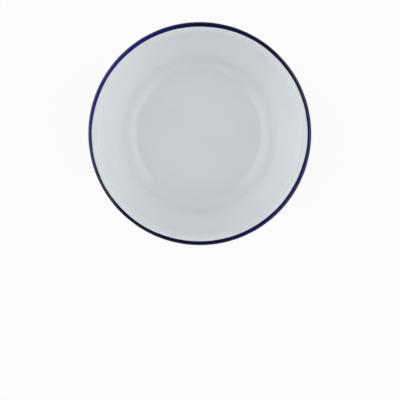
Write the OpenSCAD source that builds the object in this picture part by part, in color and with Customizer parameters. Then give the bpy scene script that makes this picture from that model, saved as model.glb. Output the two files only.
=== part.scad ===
// Enamel basin bowl: a pressed steel shell with a rolled rim, coated in vitreous enamel.
// Millimetres. The bowl stands on z = 0, and its axis is the Z axis.

/* [Bowl] */
// Diameter over the rolled rim
rim_d = 160; // [140:1:200]
// Height from the table to the top of the rim
bowl_h = 78; // [55:1:110]
// Diameter of the flat underneath
base_d = 93.2; // [70:0.2:108]
// Outer radius of the bend between base and wall
corner_r = 13.25; // [8:0.25:18]

/* [Rim] */
// How far the rim stands out past the wall, measured at the rim's underside
rim_overhang = 5.8; // [4.8:0.1:9]
// Thickness of the rolled rim, enamel included
bead_t = 3.2; // [2.6:0.1:3.8]
// Radius of the bend from wall to rim, at the middle of the sheet
flare_r = 2.8; // [2:0.1:3.6]
// Radius of the enamel that fills the corner under the rim
fillet_r = 2; // [1:0.1:2.6]
// Width of the blue band, seen from above
band_w = 2.8; // [2.2:0.1:3.6]

/* [Sheet and enamel] */
// Thickness of the steel sheet
steel_t = 0.5; // [0.4:0.05:0.7]
// Thickness of the dark ground coat on each side of the sheet
ground_t = 0.15; // [0.1:0.01:0.2]
// Thickness of the white cover coat
white_t = 0.2; // [0.15:0.01:0.3]
// Thickness of the blue coat on the rim
blue_t = 0.2; // [0.15:0.01:0.3]

/* [Hidden] */
$fn = 128;

// Largest angle between two points of an arc
arc_step = 5;

// Distances from the middle of the sheet to the faces of its layers
sheet_face = steel_t / 2;
ground_face = sheet_face + ground_t;
white_face = ground_face + white_t;
blue_face = ground_face + blue_t;

// Bends of the sheet, at its middle
corner_mid_r = corner_r - white_face;
nose_mid_r = bead_t / 2 - blue_face;

// The wall's outer face touches the corner's arc and meets the underside of the rim
base_r = base_d / 2;
rim_r = rim_d / 2;
under_z = bowl_h - bead_t;
wall_top_r = rim_r - rim_overhang;
wall_run = [wall_top_r - base_r, under_z - corner_r];
lean = atan2(wall_run[0], wall_run[1]) - asin(corner_r / norm(wall_run));

// Centres of the bends, as [radius, height]
corner_c = [base_r, corner_r];
nose_c = [rim_r - bead_t / 2, bowl_h - bead_t / 2];
flare_z = bowl_h - blue_face - flare_r;
flare_c = [base_r + (corner_mid_r + flare_r + (flare_z - corner_r) * sin(lean)) / cos(lean), flare_z];

// Where the blue band starts on the lip, and where the sheet's raw edge lies under the rim
band_r = rim_r - band_w;
edge_r = wall_top_r + fillet_r * tan((90 - lean) / 2);
fillet_c = [edge_r, under_z - fillet_r];

// The slit behind the raw edge is closed up to the top of the sheet that returns under the rim
slit_z = max(under_z + blue_face + ground_face, flare_z + (flare_r - ground_face) * sin(lean));
slit_angle = 180 - asin((slit_z - flare_z) / (flare_r - ground_face));

// Points along an arc
function arc(centre, radius, from, to) =
    let (steps = max(1, ceil(abs(to - from) / arc_step)))
    [for (i = [0:steps]) let (a = from + (to - from) * i / steps) centre + radius * [cos(a), sin(a)]];

// The sheet's face at a distance from its middle, positive on the side that shows inside the bowl.
// It runs from the middle of the base up the wall, over the lip, round the nose and back to the raw edge.
function foot(d) = concat([[0, white_face + d]], arc(corner_c, corner_mid_r - d, -90, -lean));
function lip(d, from, to) = arc(flare_c, flare_r + d, from, to);
function roll(d) = concat(arc(nose_c, nose_mid_r + d, 90, -90), [[edge_r, under_z + blue_face - d]]);
function whole(d) = concat(foot(d), lip(d, 180 - lean, 90), roll(d));

// The band starts at one radius, on the flat of the lip or part of the way up its bend
function band_angle(d) = acos(min(0, (band_r - flare_c[0]) / (flare_r + d)));
function band_start(d) = [[band_r, flare_z + (flare_r + d) * sin(band_angle(d))]];
function inside(d) = concat(foot(d), lip(d, 180 - lean, band_angle(d)), band_start(d));
function band(d) = concat(band_start(d), band_r < flare_c[0] ? lip(d, band_angle(d), 90) : [], roll(d));

// The enamel outside runs up the wall, through the fillet under the rim and into the slit
function outside() = concat(foot(-white_face), arc(fillet_c, fillet_r, 180 - lean, 90), [[edge_r, slit_z]]);
function outside_back() = concat(foot(-ground_face), lip(-ground_face, 180 - lean, slit_angle));

// A layer turned from the outline between two faces
module layer(face, other) {
    rotate_extrude()
        polygon(concat(face, [for (i = [len(other) - 1:-1:0]) other[i]]));
}

module steel_shell() {
    color("#8e9397")
        layer(whole(-sheet_face), whole(sheet_face));
}

module ground_coat_inside() {
    color("#23272e")
        layer(whole(sheet_face), whole(ground_face));
}

module ground_coat_outside() {
    color("#2b3038")
        layer(whole(-ground_face), whole(-sheet_face));
}

module white_coat_inside() {
    color("#eef2f4")
        layer(inside(ground_face), inside(white_face));
}

module white_coat_outside() {
    color("#e6ebee")
        layer(outside(), outside_back());
}

module blue_rim_coat() {
    color("#211d4a")
        layer(band(ground_face), band(blue_face));
}

steel_shell();
ground_coat_inside();
ground_coat_outside();
white_coat_inside();
white_coat_outside();
blue_rim_coat();
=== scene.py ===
# %% [markdown]
# # An enamel basin bowl
#
# The bowl is a pressed steel sheet with its rim rolled over, coated in glass. A dark ground
# enamel holds on to the steel, white enamel covers it inside and out, and a blue band covers
# the roll. The CAD model gives all six layers in their true places, so the scene starts by
# loading it as a fixed frame. Its box is kept, and the rim and the height are read from it.

# %% Load the frame
import math

import bpy
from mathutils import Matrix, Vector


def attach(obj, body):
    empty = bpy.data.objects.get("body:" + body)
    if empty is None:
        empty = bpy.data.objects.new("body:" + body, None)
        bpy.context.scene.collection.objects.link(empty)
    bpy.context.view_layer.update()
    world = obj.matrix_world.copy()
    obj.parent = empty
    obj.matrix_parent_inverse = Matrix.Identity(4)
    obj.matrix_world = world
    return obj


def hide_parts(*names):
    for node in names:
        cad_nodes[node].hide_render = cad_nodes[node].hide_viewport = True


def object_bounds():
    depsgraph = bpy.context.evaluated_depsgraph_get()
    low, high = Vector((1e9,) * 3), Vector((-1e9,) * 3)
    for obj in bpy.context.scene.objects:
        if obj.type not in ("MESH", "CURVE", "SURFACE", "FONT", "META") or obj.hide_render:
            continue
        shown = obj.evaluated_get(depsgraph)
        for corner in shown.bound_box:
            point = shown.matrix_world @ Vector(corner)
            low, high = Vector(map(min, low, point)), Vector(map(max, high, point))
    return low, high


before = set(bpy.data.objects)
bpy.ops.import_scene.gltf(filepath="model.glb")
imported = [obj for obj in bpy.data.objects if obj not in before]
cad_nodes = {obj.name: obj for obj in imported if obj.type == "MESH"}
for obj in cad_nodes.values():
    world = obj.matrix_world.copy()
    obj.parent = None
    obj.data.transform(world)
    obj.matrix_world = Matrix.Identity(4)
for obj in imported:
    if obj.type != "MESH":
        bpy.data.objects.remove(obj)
cad_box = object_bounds()
print("layers in the frame:", ", ".join(sorted(cad_nodes)))

# %% [markdown]
# ## The sizes
#
# Blender works in metres and a bowl is easier to think about in millimetres, so the sizes are
# written in millimetres and turned at the last moment. The rim and the height are read from
# the frame. The others repeat the sizes that the frame was built from.

# %% Sizes in millimetres
MM = 0.001
rim_r = round(cad_box[1][0] / MM, 2)
bowl_h = round(cad_box[1][2] / MM, 2)
base_r = 46.6
corner_r = 13.25
rim_overhang = 5.8
bead_t = 3.2
flare_r = 2.8
fillet_r = 2.0
band_w = 2.8
steel_t, ground_t, cover_t = 0.5, 0.15, 0.2
print(f"rim {2 * rim_r} mm across, {bowl_h} mm high")

# %% [markdown]
# ## Where the bends are
#
# Seen in section, the sheet is a line with three bends: the corner at the base, the flare at
# the lip and the nose of the roll. Enamel adds a fourth, the small fillet under the roll.
# Every layer follows that line at its own distance, so the centres of the bends are worked
# out once. They could be measured on the frame, but a formula gives them exactly.

# %% Centres of the bends
ground_face = steel_t / 2 + ground_t
cover_face = ground_face + cover_t
corner_mid_r = corner_r - cover_face
nose_mid_r = bead_t / 2 - cover_face
under_z = bowl_h - bead_t
wall_top_r = rim_r - rim_overhang
rise, reach = under_z - corner_r, wall_top_r - base_r
lean = math.degrees(math.atan2(reach, rise) - math.asin(corner_r / math.hypot(reach, rise)))
lean_sin, lean_cos = math.sin(math.radians(lean)), math.cos(math.radians(lean))

corner_c = (base_r, corner_r)
nose_c = (rim_r - bead_t / 2, bowl_h - bead_t / 2)
flare_z = bowl_h - cover_face - flare_r
flare_out = (corner_mid_r + flare_r + (flare_z - corner_r) * lean_sin) / lean_cos
flare_c = (base_r + flare_out, flare_z)
band_r = rim_r - band_w
edge_r = wall_top_r + fillet_r * math.tan(math.radians(90 - lean) / 2)
fillet_c = (edge_r, under_z - fillet_r)
print(f"the wall leans {lean:.2f} degrees")

# %% [markdown]
# ## Drawing a section
#
# A section is a row of points, each with a radius and a height. Two more things go with a
# point. The first says whether it shows, because enamel ripples only on its open face. The
# second says which way the point moves with an edge of the blue band, out and up, because
# the band was laid on by hand and its edges wander a little. The coats could be copied from
# the frame instead, but its loose triangles have no rows to ripple or to move.

# %% Pieces of a section
ARC_STEP = 4.0
WALL_ROWS = 24
BASE_ROWS = 26


def arc(centre, radius, start, end):
    steps = math.ceil(abs(end - start) / ARC_STEP)
    angles = [math.radians(start + (end - start) * i / steps) for i in range(steps + 1)]
    return [(centre[0] + radius * math.cos(a), centre[1] + radius * math.sin(a)) for a in angles]


def between(start, end, rows):
    return [(start[0] + (end[0] - start[0]) * i / rows, start[1] + (end[1] - start[1]) * i / rows)
            for i in range(1, rows)]


def foot(d, rows=1):
    bend = arc(corner_c, corner_mid_r - d, -90, -lean)
    middle = (0.0, cover_face + d)
    return [middle] + between(middle, bend[0], rows) + bend


def lip(d):
    return arc(flare_c, flare_r + d, 180 - lean, 90)


def marked(points, shows=0.0, sway=(0.0, 0.0)):
    return [(r, z, shows, sway) for r, z in points]


print(len(foot(0.0)), "points along the foot,", len(lip(0.0)), "along the lip")

# %% [markdown]
# ## The white enamel inside
#
# The white runs from the middle of the base up the wall and over the lip. It was fired before
# the blue, so it carries on under the edge of the blue, a few hundredths of a millimetre
# lower. It could stop where the blue starts, as it does in the frame, but with that tuck the
# blue edge can wander and still lie on white everywhere.
#
# A section has to go round its piece counterclockwise, or the faces turned from it look
# inwards. This one starts on the face that shows and so goes the other way, and its points
# are taken in reverse at the end.

# %% Section of the white inside
TUCK = 0.06
TUCK_SHORT_OF_NOSE = 0.05
LIP_ROWS = 6

tuck_z = bowl_h - TUCK
tuck_to = nose_c[0] - TUCK_SHORT_OF_NOSE
shown = foot(cover_face, BASE_ROWS)
bend = lip(cover_face)
sunk = [(r, z - TUCK * i / (len(bend) - 1)) for i, (r, z) in enumerate(bend)]
shown += between(shown[-1], sunk[0], WALL_ROWS) + sunk
shown += between(sunk[-1], (tuck_to, tuck_z), LIP_ROWS)
hidden = [(tuck_to, tuck_z), (tuck_to, bowl_h - cover_t)]
hidden += lip(ground_face)[::-1] + foot(ground_face)[::-1]
white_inside = (marked(shown, shows=1.0) + marked(hidden))[::-1]
print(len(white_inside), "points in the section of the white inside")

# %% [markdown]
# ## The white enamel outside
#
# Outside, the white covers the base and the wall, and draws itself into a small fillet under
# the rim, as melted glass does in any corner. A bevel could round that corner, but an arc in
# the section meets the wall and the roll exactly. Behind the fillet the white closes the slit
# between the wall and the raw edge of the sheet. The base and the corner beside it stay free
# of ripple, so that the bowl stands flat.

# %% Section of the white outside
base_line = foot(-cover_face, BASE_ROWS)
fillet = arc(fillet_c, fillet_r, 180 - lean, 90)
wall_line = between(base_line[-1], fillet[0], WALL_ROWS)
slit_z = under_z + cover_face + ground_face
slit_r = flare_r - ground_face
slit_angle = 180 - math.degrees(math.asin((slit_z - flare_z) / slit_r))
slit_wall = arc(flare_c, slit_r, slit_angle, 180 - lean)
white_outside = marked(base_line) + marked(wall_line + fillet[:-1], shows=1.0)
white_outside += marked([fillet[-1], (edge_r, slit_z)] + slit_wall + foot(-ground_face)[::-1])
print(len(white_outside), "points in the section of the white outside")

# %% [markdown]
# ## The edges of the blue band
#
# The blue goes over the roll last. Its upper edge lies on the tuck of the white, and its
# lower edge runs a little way down the fillet. Each edge has a rounded bead where the glass
# drew back as it melted. A bevel on a plain band would round both edges alike, so the few
# points of each bead are given one by one.

# %% Edges of the blue band
EDGE_INSET = 0.2
EDGE_STEPS = ((0.0, -0.02), (0.03, 0.03), (0.1, 0.05), (0.22, TUCK))
BEAD = 0.03
LAP = 10
LAP_ROWS = 4
LAP_END = ((0.7, 1.5), (-1.0, 2.5))


def on_fillet(height, degrees):
    angle = math.radians(degrees)
    out = fillet_r - height
    return (fillet_c[0] + out * math.cos(angle), fillet_c[1] + out * math.sin(angle))


edge = band_r - EDGE_INSET
upper_edge = [(edge + out, tuck_z + up) for out, up in EDGE_STEPS]
lower_edge = [on_fillet(BEAD, 90 + LAP * i / LAP_ROWS) for i in range(LAP_ROWS + 1)]
lower_edge += [on_fillet(share * BEAD, 90 + LAP + past) for share, past in LAP_END]
print(f"the band starts at a radius of {edge:.1f} mm and laps {LAP} degrees down the fillet")

# %% [markdown]
# ## The rest of the blue band
#
# Between its edges the blue follows the flat of the lip, the nose of the roll and the
# underside. The points near the two edges sway with them, and the nose between keeps its true
# round. The whole band could sway as one, but then the rim would be out of round. The section
# runs over the top and round the nose, which is clockwise, so it is reversed too.

# %% Section of the blue band
FLAT_ROWS = 4
UNDER_ROWS = 6
LOWER_SWAY = 0.25
OUTWARD = (1.0, 0.0)

top_flat = between(upper_edge[-1], (nose_c[0], bowl_h), FLAT_ROWS)
nose = arc(nose_c, bead_t / 2, 90, -90)
under = between(nose[-1], (edge_r, under_z - BEAD), UNDER_ROWS)
down_fillet = (-LOWER_SWAY * math.cos(math.radians(LAP)), -LOWER_SWAY * math.sin(math.radians(LAP)))
blue_back = [(edge_r, under_z), (edge_r, under_z + cover_t)]
blue_back += arc(nose_c, nose_mid_r + ground_face, -90, 90)
blue_back += [(tuck_to, bowl_h - cover_t), (tuck_to, tuck_z)]

blue_band = marked(upper_edge, shows=1.0, sway=OUTWARD)
for i, point in enumerate(top_flat, start=1):
    blue_band += marked([point], shows=1.0, sway=(1 - i / FLAT_ROWS, 0.0))
blue_band += marked(nose + under, shows=1.0) + marked(lower_edge, shows=1.0, sway=down_fillet)
blue_band += marked(blue_back) + marked(upper_edge[:1], shows=1.0, sway=OUTWARD)
blue_band.reverse()
print(len(blue_band), "points in the section of the blue band")

# %% [markdown]
# ## Node tools
#
# Materials, the studio and the turning of the coats are all node trees. Each node could be
# made, set and linked line by line, but that is long to read. The first helper adds a node
# and fills its sockets, either with a plain value or with another node's output. The other
# two wrap the nodes that come up most often.


# %% Helpers for nodes
def add(tree, kind, values=(), **settings):
    node = tree.nodes.new(kind)
    for key, value in settings.items():
        setattr(node, key, value)
    for socket, value in dict(values).items():
        if isinstance(value, bpy.types.NodeSocket):
            tree.links.new(value, node.inputs[socket])
        else:
            node.inputs[socket].default_value = value
    return node


def maths(tree, operation, *values):
    return add(tree, "ShaderNodeMath", enumerate(values), operation=operation).outputs[0]


def ramp(tree, value, low, high, to_low=0.0, to_high=1.0):
    names = ("Value", "From Min", "From Max", "To Min", "To Max")
    node = add(tree, "ShaderNodeMapRange", zip(names, (value, low, high, to_low, to_high)),
               interpolation_type="SMOOTHSTEP")
    return node.outputs["Result"]


print("helpers for nodes:", ", ".join(helper.__name__ for helper in (add, maths, ramp)))

# %% [markdown]
# ## The enamel skin
#
# All the enamels come from the same kiln, so they share one skin: a faint orange peel, a slow
# mottle of thick and thin, and a rare pinhole speck. Each material could have its own noises,
# but a node group is built once and placed in each material with its own values.

# %% The enamel skin
SPECK_SHARE = 0.14

skin = bpy.data.node_groups.new("enamel_skin", "ShaderNodeTree")
skin.interface.new_socket("Vector", in_out="INPUT", socket_type="NodeSocketVector")
for name in ("Peel Size", "Mottle Size", "Speck Spacing", "Speck Size"):
    skin.interface.new_socket(name, in_out="INPUT", socket_type="NodeSocketFloat")
for name in ("Peel", "Mottle", "Specks"):
    skin.interface.new_socket(name, in_out="OUTPUT", socket_type="NodeSocketFloat")

skin_in = add(skin, "NodeGroupInput").outputs
skin_out = add(skin, "NodeGroupOutput").inputs
for name, detail in (("Peel", 2.0), ("Mottle", 3.0)):
    scale = maths(skin, "DIVIDE", 1.0, skin_in[name + " Size"])
    noise = add(skin, "ShaderNodeTexNoise",
                {"Vector": skin_in["Vector"], "Scale": scale, "Detail": detail})
    skin.links.new(noise.outputs[0], skin_out[name])

per_speck = maths(skin, "DIVIDE", 1.0, skin_in["Speck Spacing"])
cells = add(skin, "ShaderNodeTexVoronoi", {"Vector": skin_in["Vector"], "Scale": per_speck}).outputs
speck_edge = maths(skin, "MULTIPLY", skin_in["Speck Size"], per_speck)
near_middle = ramp(skin, cells["Distance"], speck_edge, 0.0)
chance = add(skin, "ShaderNodeSeparateColor", {"Color": cells["Color"]}).outputs[0]
picked = maths(skin, "GREATER_THAN", chance, 1 - SPECK_SHARE)
skin.links.new(maths(skin, "MULTIPLY", near_middle, picked), skin_out["Specks"])
print("skin group:", len(skin.nodes), "nodes")

# %% [markdown]
# ## Starting an enamel
#
# Every enamel material starts in the same way: a Principled shader, and the skin on Object
# coordinates, which stay with the piece. One material could be copied and changed for each
# enamel, but a function shows what they share. The bump that the peel makes has its distance
# in metres, so it is tiny.

# %% What every enamel starts with
SPECK_SPACING = 14.0
MOTTLE_SPAN = (0.3, 0.7)


def enamel(name, peel, mottle, speck):
    material = bpy.data.materials.new(name)
    material.use_nodes = True
    tree = material.node_tree
    place = add(tree, "ShaderNodeTexCoord").outputs["Object"]
    group = add(tree, "ShaderNodeGroup", {"Vector": place}, node_tree=skin)
    for socket, size in zip(group.inputs[1:], (peel, mottle, SPECK_SPACING, speck)):
        socket.default_value = size * MM
    return material, tree, place, group.outputs, tree.nodes["Principled BSDF"]


def bumped(tree, shader, height, depth):
    bump = add(tree, "ShaderNodeBump", {"Height": height, "Strength": 1.0, "Distance": depth * MM})
    tree.links.new(bump.outputs[0], shader.inputs["Normal"])


def blended(tree, amount, first, second):
    node = add(tree, "ShaderNodeMix", {0: amount, 6: first, 7: second}, data_type="RGBA")
    return node.outputs[2]


print(f"speck cells of {SPECK_SPACING} mm, with a speck in {SPECK_SHARE:.0%} of them")

# %% [markdown]
# ## White enamel
#
# White vitreous enamel is milky glass, a little cool, with a clear gloss. The mottle moves
# its tone by a hair, the specks are pinholes of the dark ground that show through, and the
# peel bends the reflections. The lip is a shade greyer. Part of that is glass drawing thin
# over a sharp bend, where the ground shows through, and part is painted shade that holds
# back the extra light its upward face catches. A second material could grey the lip, but a
# tone that follows the height leaves no seam.

# %% White material
WHITE = (0.818, 0.848, 0.866, 1.0)
WHITE_THIN = (0.803, 0.835, 0.855, 1.0)
# the lip's grey is partly thin glass and partly painted shade
WHITE_LIP_SHADED = (0.668, 0.7, 0.718, 1.0)
PINHOLE = (0.12, 0.13, 0.15, 1.0)
PINHOLE_STRENGTH = 0.7
THIN_SPAN = (0.35, 0.7)
LIP_SHADE_FADE = 0.6
WHITE_ROUGHNESS = (0.06, 0.1)

white, tree, place, skins, shader = enamel("fired_white", peel=2.6, mottle=22.0, speck=0.28)
tone = blended(tree, ramp(tree, skins["Mottle"], *THIN_SPAN), WHITE, WHITE_THIN)
height = add(tree, "ShaderNodeSeparateXYZ", {0: place}).outputs[2]
# painted shade: the lip greys towards the top, partly for thin glass, partly against the light its upward
# face gets
lip_shade = ramp(tree, height, (flare_z + LIP_SHADE_FADE) * MM, (bowl_h - LIP_SHADE_FADE) * MM)
tone = blended(tree, lip_shade, tone, WHITE_LIP_SHADED)
pinholes = maths(tree, "MULTIPLY", skins["Specks"], PINHOLE_STRENGTH)
roughness = ramp(tree, skins["Mottle"], *MOTTLE_SPAN, *WHITE_ROUGHNESS)
tree.links.new(blended(tree, pinholes, tone, PINHOLE), shader.inputs["Base Color"])
tree.links.new(roughness, shader.inputs["Roughness"])
shader.inputs["IOR"].default_value = 1.52
bumped(tree, shader, skins["Peel"], depth=0.012)
print("white enamel:", len(tree.nodes), "nodes")

# %% [markdown]
# ## Streaks round the rim
#
# The blue was laid on round the rim, so fine streaks follow the rim. A UV map could carry
# them, but the turned coat has none. The streaks are a four-dimensional noise instead: it
# changes fast with radius and height and slowly with the angle, and it closes on itself after
# a full turn.

# %% Streaks in the blue
STREAKS_PER_METRE = 900.0
STREAK_SPAN = (0.4, 0.75)


def level_length(tree, axes):
    squares = [maths(tree, "POWER", axis, 2.0) for axis in axes[:2]]
    return maths(tree, "SQRT", maths(tree, "ADD", *squares))


blue, tree, place, skins, shader = enamel("fired_blue", peel=2.2, mottle=9.0, speck=0.22)
axes = add(tree, "ShaderNodeSeparateXYZ", {0: place}).outputs
radius = level_length(tree, axes)
across = maths(tree, "DIVIDE", axes[0], radius)
along = maths(tree, "DIVIDE", axes[1], radius)
outwards = maths(tree, "MULTIPLY", radius, STREAKS_PER_METRE)
upwards = maths(tree, "MULTIPLY", axes[2], STREAKS_PER_METRE)
around = add(tree, "ShaderNodeCombineXYZ", {0: across, 1: along, 2: outwards}).outputs[0]
noise = add(tree, "ShaderNodeTexNoise", {"Vector": around, "Scale": 2.0, "Detail": 3.0, "W": upwards},
            noise_dimensions="4D")
streaks = ramp(tree, noise.outputs[0], *STREAK_SPAN)
print("blue enamel with its streaks:", len(tree.nodes), "nodes")

# %% [markdown]
# ## Blue enamel
#
# The band is a cobalt blue, nearly black where it lies thick and more violet where it thins
# out towards its edge. Painted sheen lightens it as well: over the nose of the roll, and on
# one side of the rim, with less on the side across from it, in place of the soft boxes
# shining in the glaze. Each of these is a mask, and so are the streaks. The masks could each
# mix in a colour of their own, but here their weighted sum stands for how thin the glass is
# together with the painted sheen, and mixes only two blues.

# %% Blue material
BLUE = (0.0015, 0.0013, 0.018, 1.0)
# the light blue serves for thin glass and for painted sheen
BLUE_THIN_AND_SHEEN = (0.016, 0.012, 0.16, 1.0)
BLUE_ROUGHNESS = (0.06, 0.12)
EDGE_FADE = 1.2
# fade of the painted sheen over the nose
NOSE_SHEEN_FADE = 0.3
# painted sheen: the side of the rim that is lightened, and how far it spreads
SHEEN_AT = math.radians(150)
SHEEN_SPAN = (0.5, 0.95)


def weighted(tree, pairs):
    total = 0.0
    for value, weight in pairs:
        total = maths(tree, "ADD", maths(tree, "MULTIPLY", value, weight), total)
    return total


# painted sheen on one side of the rim, and a weaker one on the side across from it
sheen_from = (math.cos(SHEEN_AT), math.sin(SHEEN_AT), 0.0)
side = add(tree, "ShaderNodeVectorMath", {0: around, 1: sheen_from},
           operation="DOT_PRODUCT").outputs["Value"]
thin_edge = ramp(tree, radius, (band_r + EDGE_FADE) * MM, edge * MM)
# painted sheen over the nose of the roll
nose_sheen = ramp(tree, axes[2], (bowl_h - NOSE_SHEEN_FADE) * MM, nose_c[1] * MM)
side_sheen = ramp(tree, side, *SHEEN_SPAN)
far_side_sheen = ramp(tree, side, *(-bound for bound in SHEEN_SPAN))
# how thin the glass is, plus the painted sheen
thin_and_sheen = weighted(tree, ((thin_edge, 0.3), (streaks, 0.1), (side_sheen, 0.65), (far_side_sheen, 0.25),
                       (nose_sheen, 0.3)))
roughness = ramp(tree, skins["Mottle"], *MOTTLE_SPAN, *BLUE_ROUGHNESS)
tree.links.new(blended(tree, thin_and_sheen, BLUE, BLUE_THIN_AND_SHEEN), shader.inputs["Base Color"])
tree.links.new(roughness, shader.inputs["Roughness"])
shader.inputs["IOR"].default_value = 1.5
shader.inputs["Specular IOR Level"].default_value = 0.4
bumped(tree, shader, skins["Peel"], depth=0.018)
print("blue enamel:", len(tree.nodes), "nodes")

# %% [markdown]
# ## Ground enamel
#
# The ground enamel is sealed under the cover coats. Its two frame solids stay as they are and
# only get a finish: blue-black glass with fine bubbles. A plain dark grey would do while it
# is hidden, but a cut or chipped bowl would not show the right stuff.

# %% Ground material
GROUND_DARK = (0.012, 0.014, 0.02, 1.0)
GROUND_LIGHT = (0.03, 0.034, 0.044, 1.0)
BUBBLE = (0.09, 0.1, 0.12, 1.0)
GROUND_ROUGHNESS = (0.25, 0.45)

ground, tree, place, skins, shader = enamel("fired_ground", peel=1.4, mottle=6.0, speck=0.4)
tone = blended(tree, skins["Mottle"], GROUND_DARK, GROUND_LIGHT)
roughness = ramp(tree, skins["Mottle"], *MOTTLE_SPAN, *GROUND_ROUGHNESS)
tree.links.new(blended(tree, skins["Specks"], tone, BUBBLE), shader.inputs["Base Color"])
tree.links.new(roughness, shader.inputs["Roughness"])
bumped(tree, shader, skins["Peel"], depth=0.01)
print("ground enamel:", len(tree.nodes), "nodes")

# %% [markdown]
# ## Steel
#
# The steel is sealed in too, and its frame solid stays. Pickled sheet steel is a dull grey
# with the drawn grain of the press. The grain could come from a picture laid on with a UV
# map, but a noise that is stretched along the height needs neither.

# %% Steel material, and who wears what
STEEL_DARK = (0.36, 0.37, 0.38, 1.0)
STEEL_LIGHT = (0.5, 0.51, 0.52, 1.0)
GRAIN_SPAN = (0.3, 0.7)
STEEL_ROUGHNESS = (0.35, 0.55)
DRAWN_UP = (1.0, 1.0, 0.12)
GRAINS_PER_METRE = 1600.0

steel = bpy.data.materials.new("pressed_steel")
steel.use_nodes = True
tree, shader = steel.node_tree, steel.node_tree.nodes["Principled BSDF"]
place = add(tree, "ShaderNodeTexCoord").outputs["Object"]
drawn = add(tree, "ShaderNodeMapping", {"Vector": place, "Scale": DRAWN_UP}).outputs[0]
grain = add(tree, "ShaderNodeTexNoise",
            {"Vector": drawn, "Scale": GRAINS_PER_METRE, "Detail": 4.0}).outputs[0]
tree.links.new(blended(tree, grain, STEEL_DARK, STEEL_LIGHT), shader.inputs["Base Color"])
tree.links.new(ramp(tree, grain, *GRAIN_SPAN, *STEEL_ROUGHNESS), shader.inputs["Roughness"])
shader.inputs["Metallic"].default_value = 1.0
bumped(tree, shader, grain, depth=0.004)

for node_name, finish in (("steel_shell", steel), ("ground_coat_inside", ground),
                          ("ground_coat_outside", ground)):
    slots = cad_nodes[node_name].data.materials
    slots.clear()
    slots.append(finish)
    print(node_name, "wears", finish.name)

# %% [markdown]
# ## Turning a section on its axis
#
# Every coat is a body of revolution, so one Geometry Nodes tree turns all three. A Screw
# modifier could turn a section too, but it couldn't let an edge wander on the way round. A
# plain grid has a column for each step round the axis and a row for each point of the
# section. Its points are then sent to their places: the row picks the point, and the column
# gives the angle.

# %% The turning tree
TURNING_INPUTS = (("Steps Round", "Int"), ("Slant", "Float"), ("Oval", "Float"), ("Waves", "Float"),
                  ("Wave Size", "Float"), ("Ripple Height", "Float"), ("Ripple Size", "Float"),
                  ("Finish", "Material"))

turning = bpy.data.node_groups.new("turned_coat", "GeometryNodeTree")
turning.interface.new_socket("Section", in_out="INPUT", socket_type="NodeSocketGeometry")
turning_ids = {}
for name, kind in TURNING_INPUTS:
    socket = turning.interface.new_socket(name, in_out="INPUT", socket_type="NodeSocket" + kind)
    turning_ids[name] = socket.identifier
turning.interface.new_socket("Coat", in_out="OUTPUT", socket_type="NodeSocketGeometry")

given = add(turning, "NodeGroupInput").outputs
points = add(turning, "GeometryNodeAttributeDomainSize", {0: given["Section"]}).outputs["Point Count"]
columns = maths(turning, "ADD", given["Steps Round"], 1.0)
grid = add(turning, "GeometryNodeMeshGrid", {"Vertices X": columns, "Vertices Y": points})
index = add(turning, "GeometryNodeInputIndex").outputs[0]
row = add(turning, "FunctionNodeIntegerMath", {0: index, 1: points}, operation="MODULO").outputs[0]
column = add(turning, "FunctionNodeIntegerMath", {0: index, 1: points}, operation="DIVIDE_FLOOR").outputs[0]
turn = maths(turning, "DIVIDE", maths(turning, "MULTIPLY", column, 2 * math.pi), given["Steps Round"])
print("inputs of the turning tree:", ", ".join(turning_ids))

# %% [markdown]
# ## Tools for the turning
#
# The tree needs a few things more than once: a value at the row's point of the section, a
# named attribute, a noise that goes both ways, a turn about the axis, and a swing that repeats
# round the rim. Each could be a node group, but a function that adds up to three nodes is
# shorter.

# %% Tools of the turning tree
NOISE_SPAN = (0.28, 0.72)


def read_section(kind, value):
    node = add(turning, "GeometryNodeSampleIndex", {"Index": row}, data_type=kind)
    turning.links.new(given["Section"], node.inputs["Geometry"])
    turning.links.new(value, node.inputs["Value"])
    return node.outputs["Value"]


def named(name, kind="FLOAT"):
    node = add(turning, "GeometryNodeInputNamedAttribute", {"Name": name}, data_type=kind)
    return node.outputs["Attribute"]


def uneven(vector, size):
    scale = maths(turning, "DIVIDE", 1.0, size)
    noise = add(turning, "ShaderNodeTexNoise", {"Vector": vector, "Scale": scale, "Detail": 2.0})
    return ramp(turning, noise.outputs[0], *NOISE_SPAN, -1.0, 1.0)


def turned(vector):
    return add(turning, "ShaderNodeVectorRotate", {"Vector": vector, "Angle": turn},
               rotation_type="Z_AXIS").outputs[0]


def swing(from_degrees, times):
    angle = maths(turning, "SUBTRACT", turn, math.radians(from_degrees))
    return maths(turning, "COSINE", maths(turning, "MULTIPLY", angle, times))


print("tools:", ", ".join(tool.__name__ for tool in (read_section, named, uneven, turned, swing)))

# %% [markdown]
# ## Letting the edge wander
#
# The edge of the band drifts: once round the rim because the bowl was dipped at a slant,
# twice because it was not quite round, and with a noise for the small waves. Noise alone
# would look shaky, because most of a dipped edge's drift is slow. Each point takes as much of
# the drift as its sway says. Merging by distance then closes the seam and the poles.

# %% Sending the points to their places
SLANT_AT, OVAL_AT = 230, 21
WELD = 1e-6

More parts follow.
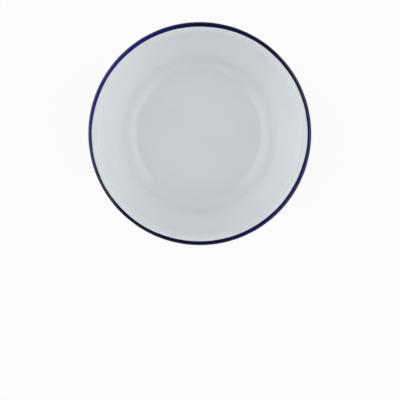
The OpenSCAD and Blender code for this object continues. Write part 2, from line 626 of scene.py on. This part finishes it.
here = add(turning, "GeometryNodeInputPosition").outputs[0]
section_point = read_section("FLOAT_VECTOR", here)
sway = read_section("FLOAT_VECTOR", named("sway", "FLOAT_VECTOR"))
shows = read_section("FLOAT", named("shows"))
waves = uneven(turned(section_point), given["Wave Size"])
wander = weighted(turning, ((swing(SLANT_AT, 1.0), given["Slant"]), (swing(OVAL_AT, 2.0), given["Oval"]),
                            (waves, given["Waves"])))
drift = add(turning, "ShaderNodeVectorMath", {0: sway, "Scale": wander}, operation="SCALE").outputs[0]
swayed = add(turning, "ShaderNodeVectorMath", {0: section_point, 1: drift}).outputs[0]
coat = add(turning, "GeometryNodeSetPosition",
           {"Geometry": grid.outputs["Mesh"], "Position": turned(swayed)})
coat = add(turning, "GeometryNodeStoreNamedAttribute",
           {"Geometry": coat.outputs[0], "Name": "shows", "Value": shows}, data_type="FLOAT")
coat = add(turning, "GeometryNodeMergeByDistance", {"Geometry": coat.outputs[0], "Distance": WELD})
print("turning tree so far:", len(turning.nodes), "nodes")

# %% [markdown]
# ## Rippling the glass
#
# Fired enamel is never quite flat. The open face ripples along its normals by a few hundredths
# of a millimetre, which is enough to bend a reflection. A bump could fake it, but a real ripple
# stays in the exported mesh.

# %% Rippling the open face and finishing the tree
ripple = maths(turning, "MULTIPLY", uneven(here, given["Ripple Size"]), given["Ripple Height"])
ripple = maths(turning, "MULTIPLY", ripple, named("shows"))
normal = add(turning, "GeometryNodeInputNormal").outputs[0]
lift = add(turning, "ShaderNodeVectorMath", {0: normal, "Scale": ripple}, operation="SCALE").outputs[0]
for kind, values in (("SetPosition", {"Offset": lift}), ("RemoveAttribute", {"Name": "shows"}),
                     ("SetShadeSmooth", {}), ("RealizeInstances", {}),
                     ("SetMaterial", {"Material": given["Finish"]})):
    coat = add(turning, "GeometryNode" + kind, {"Geometry": coat.outputs[0], **values})
turning.links.new(coat.outputs[0], add(turning, "NodeGroupOutput").inputs[0])
print("turning tree:", len(turning.nodes), "nodes")

# %% [markdown]
# ## From a section to a piece
#
# Each section becomes a small mesh of points, the tree turns it, and the result is copied
# out as a plain mesh. The modifier could stay on the piece, but a plain mesh can be measured
# and exported as it is. The signed volume tells whether the faces point outwards: it is
# positive when they do. The piece then rides on the bowl's one body and stands for its node.


# %% From a section to a piece
def section_mesh(name, section):
    line = bpy.data.meshes.new(name + "_section")
    line.from_pydata([(r * MM, 0.0, z * MM) for r, z, _, _ in section],
                     [(i, i + 1) for i in range(len(section) - 1)], [])
    shows = [point[2] for point in section]
    sway = [number for point in section for number in (point[3][0], 0.0, point[3][1])]
    line.attributes.new("shows", "FLOAT", "POINT").data.foreach_set("value", shows)
    line.attributes.new("sway", "FLOAT_VECTOR", "POINT").data.foreach_set("vector", sway)
    return line


def edge_faces(mesh):
    count = [0] * len(mesh.edges)
    for loop in mesh.loops:
        count[loop.edge_index] += 1
    return count


def make_coat(name, section, node_name, slot, **sizes):
    piece = bpy.data.objects.new(name, section_mesh(name, section))
    bpy.context.scene.collection.objects.link(piece)
    maker = piece.modifiers.new("turned", "NODES")
    maker.node_group = turning
    for key, value in sizes.items():
        maker[turning_ids[key.replace("_", " ").title()]] = value
    seen = piece.evaluated_get(bpy.context.evaluated_depsgraph_get())
    mesh = bpy.data.meshes.new_from_object(seen)
    piece.modifiers.remove(maker)
    piece.data = mesh
    mesh.name = name
    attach(piece, "root")
    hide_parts(node_name)
    mesh.calc_loop_triangles()
    volume = sum(t.area * t.normal.dot(t.center) for t in mesh.loop_triangles) / 3.0
    open_edges = sum(1 for faces in edge_faces(mesh) if faces != 2)
    print(f"{name}: {len(mesh.loop_triangles)} triangles, {volume / MM ** 3:.0f} mm3, "
          f"open edges {open_edges}")


print("makers:", ", ".join(maker.__name__ for maker in (section_mesh, edge_faces, make_coat)))

# %% [markdown]
# ## Making the three coats
#
# The two white coats keep still at their edges and ripple softly. The blue one wanders and
# ripples more, on a smaller scale, and has more steps round the rim, because its outline shows
# against white. One set of values for all would be shorter, but only the blue has an edge that
# shows.

# %% Turn the coats
calm = dict(slant=0.0, oval=0.0, waves=0.0, wave_size=30 * MM, ripple_height=0.02 * MM,
            ripple_size=24 * MM, steps_round=320, finish=white)
dipped = dict(slant=0.25 * MM, oval=0.35 * MM, waves=0.12 * MM, wave_size=30 * MM,
              ripple_height=0.04 * MM, ripple_size=11 * MM, steps_round=480, finish=blue)
make_coat("white_enamel_inside", white_inside, "white_coat_inside", "white_enamel", **calm)
make_coat("white_enamel_outside", white_outside, "white_coat_outside", "white_enamel", **calm)
make_coat("blue_enamel_band", blue_band, "blue_rim_coat", "blue_enamel", **dipped)

# %% [markdown]
# ## The floor
#
# The bowl stands on a plain white sheet. It is one square, far larger than the picture, so
# that its edge lies near the horizon from any side. A curved backdrop would do as well, but
# it looks right from one side only.

# %% Floor
FLOOR_SIZE = 12.0
FLOOR_BELOW = 0.0001
CORNERS = ((-1, -1), (1, -1), (1, 1), (-1, 1))

floor_mesh = bpy.data.meshes.new("floor")
floor_mesh.from_pydata([(x * FLOOR_SIZE, y * FLOOR_SIZE, -FLOOR_BELOW) for x, y in CORNERS], [],
                       [(0, 1, 2, 3)])
floor = bpy.data.objects.new("floor", floor_mesh)
bpy.context.scene.collection.objects.link(floor)
print("floor", 2 * FLOOR_SIZE, "m across")

# %% [markdown]
# ## White paper
#
# Most of the floor's brightness is its own when the camera or a reflection sees it, which
# keeps the page white, and the rest is diffuse paint that takes the bowl's shadow. More light
# would whiten the page too, but it would bleach the bowl. Diffuse light finds the paint alone,
# so the bowl mirrors the page's own brightness but isn't lit by it.

# %% White paper
PAGE_NEAR, PAGE_FAR = 0.9, 1.0
NEAR, FAR = 0.2, 0.9
PAINT = (0.74, 0.74, 0.74, 1.0)
PLAIN_WHITE = (1.0, 1.0, 1.0, 1.0)


def seen_directly(tree):
    rays = add(tree, "ShaderNodeLightPath").outputs
    seen = maths(tree, "MAXIMUM", rays["Is Camera Ray"], rays["Is Glossy Ray"])
    return maths(tree, "MAXIMUM", seen, rays["Is Transmission Ray"])


paper = bpy.data.materials.new("white_paper")
paper.use_nodes = True
tree = paper.node_tree
tree.nodes.clear()
place = add(tree, "ShaderNodeTexCoord").outputs["Object"]
away = add(tree, "ShaderNodeVectorMath", {0: place}, operation="LENGTH").outputs["Value"]
own_light = maths(tree, "MULTIPLY", ramp(tree, away, NEAR, FAR, PAGE_NEAR, PAGE_FAR), seen_directly(tree))
paint = add(tree, "ShaderNodeBsdfDiffuse", {"Color": PAINT}).outputs[0]
glow = add(tree, "ShaderNodeEmission", {"Color": PLAIN_WHITE, "Strength": 1.0}).outputs[0]
mixed = add(tree, "ShaderNodeMixShader", {0: own_light, 1: paint, 2: glow}).outputs[0]
tree.links.new(mixed, add(tree, "ShaderNodeOutputMaterial").inputs[0])
floor_mesh.materials.append(paper)
print("paper:", len(tree.nodes), "nodes")

# %% [markdown]
# ## The studio
#
# Four soft boxes hang round the table in a dim room: a strong pair on the left and the right,
# and a weaker pair in front and behind. A low strip stands under each of the strong ones.
# Lamps so large would show hard edges in the glaze, so the boxes are painted into the world
# with feathered edges. A box covers the directions that lie within its sweep round the table
# and between its foot and its head. Its level direction is taken without its sign, so one
# rule makes both boxes of a pair. All of them stand turned by a few degrees.

# %% Soft boxes
ROOM = 0.1
TURNED = math.radians(5)
SWEEP = (0.6, 0.82)
SIDES, ENDS = 0, 1
BOXES = ((SIDES, (-0.1, 0.0), (0.25, 0.1), 2.2),
         (SIDES, (0.3, 0.45), (0.99, 0.975), 1.62),
         (ENDS, (0.3, 0.45), (0.78, 0.68), 0.93))

world = bpy.data.worlds.new("studio")
world.use_nodes = True
bpy.context.scene.world = world
tree = world.node_tree
direction = add(tree, "ShaderNodeTexCoord").outputs["Generated"]
direction = add(tree, "ShaderNodeVectorRotate", {"Vector": direction, "Angle": TURNED},
                rotation_type="Z_AXIS").outputs[0]
axes = add(tree, "ShaderNodeSeparateXYZ", {0: direction}).outputs
level = level_length(tree, axes)
light = ROOM
for axis, foot_fade, head_fade, brightness in BOXES:
    facing = maths(tree, "DIVIDE", maths(tree, "ABSOLUTE", axes[axis]), level)
    tall = maths(tree, "MULTIPLY", ramp(tree, axes[2], *foot_fade), ramp(tree, axes[2], *head_fade))
    box = maths(tree, "MULTIPLY", tall, ramp(tree, facing, *SWEEP, 0.0, brightness))
    light = maths(tree, "ADD", box, light)
print(len(BOXES), "pairs of soft boxes")

# %% [markdown]
# ## The horizon
#
# Low down, the world is white like the page, for the camera and for reflections, so that the
# floor ends in white. A white backdrop could stand there, but it would get in the way of
# other views. Diffuse light still finds the boxes and the dim room alone.

# %% Horizon
HORIZON = (0.3, 0.14)

white_below = maths(tree, "MULTIPLY", ramp(tree, axes[2], *HORIZON), seen_directly(tree))
strength = add(tree, "ShaderNodeMix", {0: white_below, 2: light, 3: 1.0}, data_type="FLOAT").outputs[0]
backdrop = tree.nodes["Background"].inputs
backdrop["Color"].default_value = PLAIN_WHITE
tree.links.new(strength, backdrop["Strength"])
print("world:", len(tree.nodes), "nodes")

# %% [markdown]
# ## The camera
#
# The camera looks down into the bowl from about a metre, with a long lens. It stands a
# centimetre to the left of the bowl's axis and is tipped a little, which puts the bowl in the
# upper part of the picture. Shifting the lens would do that too, but the shift would stay in
# the other views. The lens and the bowl's place are given in pixels of the picture. The view
# transform is Standard, so that a colour renders as it is written.

# %% Camera and view
PICTURE = 400
FOCAL = 1456
BOWL_ABOVE_MIDDLE, BOWL_LEFT_OF_MIDDLE = 66.0, 0.12
AWAY, LEFT = 1.045, 0.012

lens = bpy.data.cameras.new("camera")
lens.sensor_width = 36.0
lens.lens = FOCAL * lens.sensor_width / PICTURE
camera = bpy.data.objects.new("camera", lens)
camera.location = (-LEFT, 0.0, nose_c[1] * MM + AWAY)
tip = math.atan(BOWL_ABOVE_MIDDLE / FOCAL)
aside = math.atan(BOWL_LEFT_OF_MIDDLE / FOCAL) + math.atan(LEFT / AWAY)
camera.rotation_euler = (-tip, -aside, 0.0)
bpy.context.scene.collection.objects.link(camera)
bpy.context.scene.camera = camera
bpy.context.scene.view_settings.view_transform = "Standard"
print(f"lens {lens.lens:.1f} mm, tipped {math.degrees(tip):.2f} degrees")
